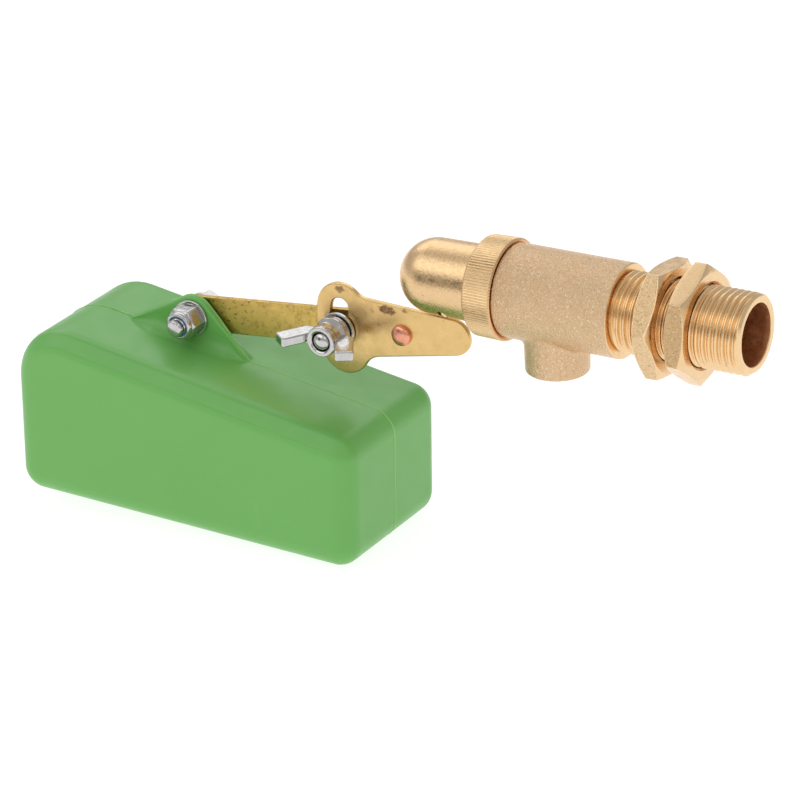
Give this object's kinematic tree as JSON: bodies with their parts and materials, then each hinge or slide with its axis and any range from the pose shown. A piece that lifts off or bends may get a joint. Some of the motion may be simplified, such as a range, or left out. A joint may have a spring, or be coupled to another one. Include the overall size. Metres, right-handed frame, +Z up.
{
  "type": "float valve",
  "caption": "Brass float valve: threaded inlet with two lock nuts, downward side spout, domed cap, adjustable lever arm with wing nut, and a hollow plastic float.",
  "frame": {"origin": "centre of the inlet end face, on the valve's axis", "axes": "+X out of the inlet along the valve's axis, +Z up (the spout points to -Z), -X towards the cap, lever and float; the lever and float swing in the XZ plane"},
  "size_m": [0.2122, 0.046, 0.0937],
  "materials": {
    "cast_brass": "blasted casting with a fine sparkling grain, machined threads and faces",
    "turned_brass": "turned and polished",
    "sheet_brass": "stamped sheet, polished, with brown oxide spots",
    "dull_brass": "tarnished sheet with an olive mottle",
    "copper": "polished copper rivet",
    "steel": "bright plated steel",
    "rubber": "black moulded rubber",
    "blue_nylon": "blue nylon",
    "green_plastic": "satin blow-moulded polyethylene"
  },
  "bodies": {
    "valve": {"valve_body": "cast_brass"},
    "outer_lock_nut": {"lock_nut_outer": "turned_brass"},
    "inner_lock_nut": {"lock_nut_inner": "turned_brass"},
    "ring": {"ring_nut": "turned_brass"},
    "cap": {"dome_cap": "turned_brass", "pivot_pin": "steel"},
    "plunger": {"piston": "turned_brass", "piston_seal": "rubber", "piston_o_ring": "rubber"},
    "lever": {"lever_plate": "sheet_brass", "lever_rivet": "copper"},
    "arm": {"arm_bar": "dull_brass", "wing_bolt": "steel", "wing_flat_washer": "steel", "wing_spring_washer": "steel", "float_bolt": "steel", "float_washer_front": "steel", "float_lock_nut": "steel", "float_nut_insert": "blue_nylon", "float_washer_rear": "steel"},
    "wing": {"wing_nut": "steel"},
    "float": {"float_shell": "green_plastic", "float_plug": "green_plastic"}
  },
  "joints": [
    {"name": "outer_lock_nut_spin", "type": "hinge", "parent": "valve", "child": "outer_lock_nut", "pos_m": [-0.0161, 0, 0], "axis": [1, 0, 0], "continuous": true},
    {"name": "inner_lock_nut_spin", "type": "hinge", "parent": "valve", "child": "inner_lock_nut", "pos_m": [-0.02485, 0, 0], "axis": [1, 0, 0], "continuous": true},
    {"name": "ring_nut_spin", "type": "hinge", "parent": "valve", "child": "ring", "pos_m": [-0.0725, 0, 0], "axis": [1, 0, 0], "continuous": true},
    {"name": "cap_swivel", "type": "hinge", "parent": "valve", "child": "cap", "pos_m": [-0.0745, 0, 0], "axis": [1, 0, 0], "continuous": true},
    {"name": "lever_pivot", "type": "hinge", "parent": "cap", "child": "lever", "pos_m": [-0.086, 0, -0.0076], "axis": [0, 1, 0], "range_deg": [0, 22]},
    {"name": "piston_slide", "type": "slide", "parent": "cap", "child": "plunger", "axis": [1, 0, 0], "range_m": [0, 0.00298]},
    {"name": "arm_adjust", "type": "hinge", "parent": "lever", "child": "arm", "pos_m": [-0.1018, 0, -0.0183], "axis": [0, 1, 0], "range_deg": [-16.2, 18.6]},
    {"name": "float_tilt", "type": "hinge", "parent": "arm", "child": "float", "pos_m": [-0.1664, 0, -0.0245], "axis": [0, 1, 0], "range_deg": [-2, 60]},
    {"name": "wing_nut_spin", "type": "hinge", "parent": "arm", "child": "wing", "pos_m": [-0.12091, 0, -0.02013], "axis": [0, -1, 0], "continuous": true}
  ],
  "couplings": [
    {"joint": "piston_slide", "follows": "lever_pivot", "m_per_rad": 0.00776}
  ]
}
